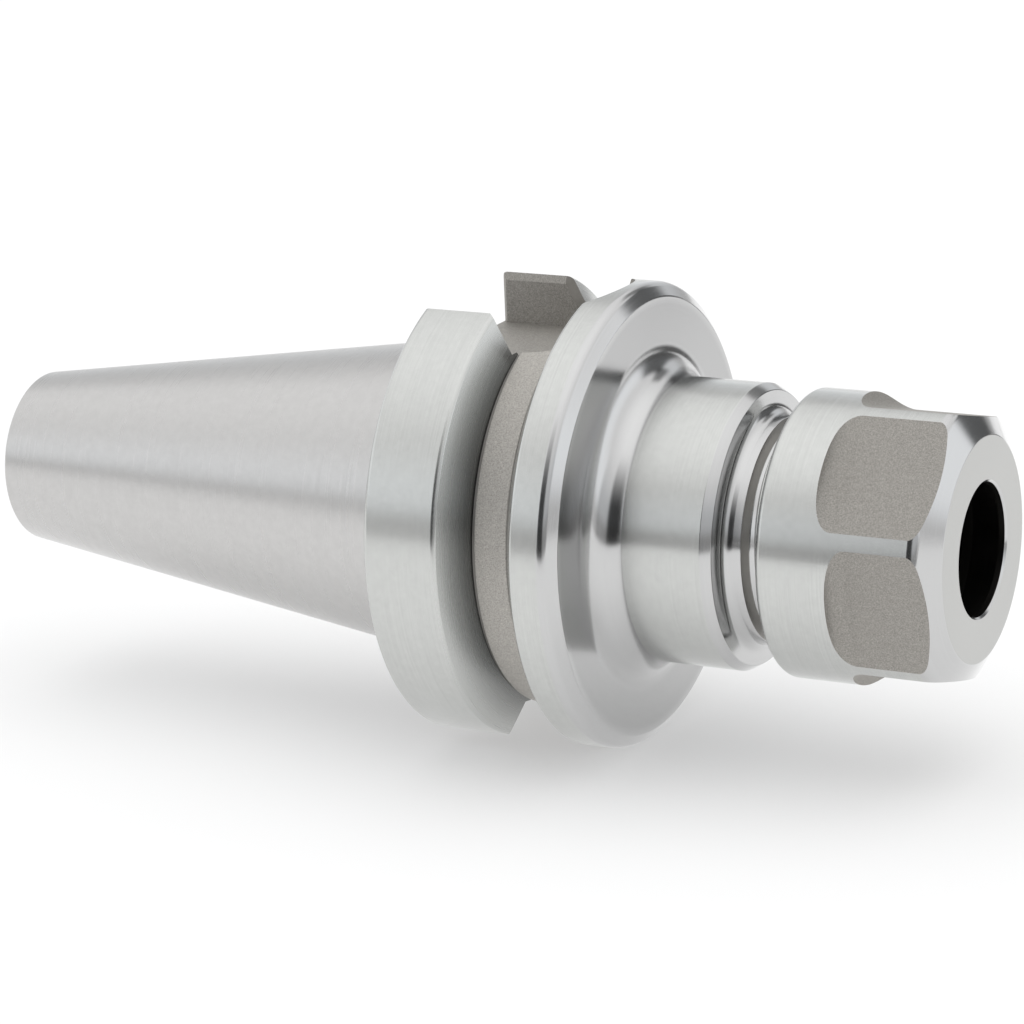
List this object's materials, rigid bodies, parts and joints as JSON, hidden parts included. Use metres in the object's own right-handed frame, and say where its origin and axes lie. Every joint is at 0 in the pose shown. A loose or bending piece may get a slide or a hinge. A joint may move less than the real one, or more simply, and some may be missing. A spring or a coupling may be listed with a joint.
{
  "type": "collet chuck holder",
  "caption": "Steep-taper tool holder with gripper flange, drive slots, threaded nose and a hexagonal collet clamping nut.",
  "frame": {"origin": "centre of the gauge line, where the taper has its gauge diameter", "axes": "+X along the tool axis from the taper towards the nut, +Z out through the upper drive slot, +Y completes the set"},
  "size_m": [0.1044, 0.046, 0.046],
  "materials": {
    "ground_steel": "turned and ground, satin",
    "bright_steel": "turned, with blasted flats"
  },
  "bodies": {
    "holder": {"holder_body": "ground_steel"},
    "nut": {"clamping_nut": "bright_steel"}
  },
  "joints": [
    {"name": "nut_turn", "type": "hinge", "parent": "holder", "child": "nut", "pos_m": [0, 0, 0], "axis": [1, 0, 0], "range_deg": [-72, 2472]}
  ]
}
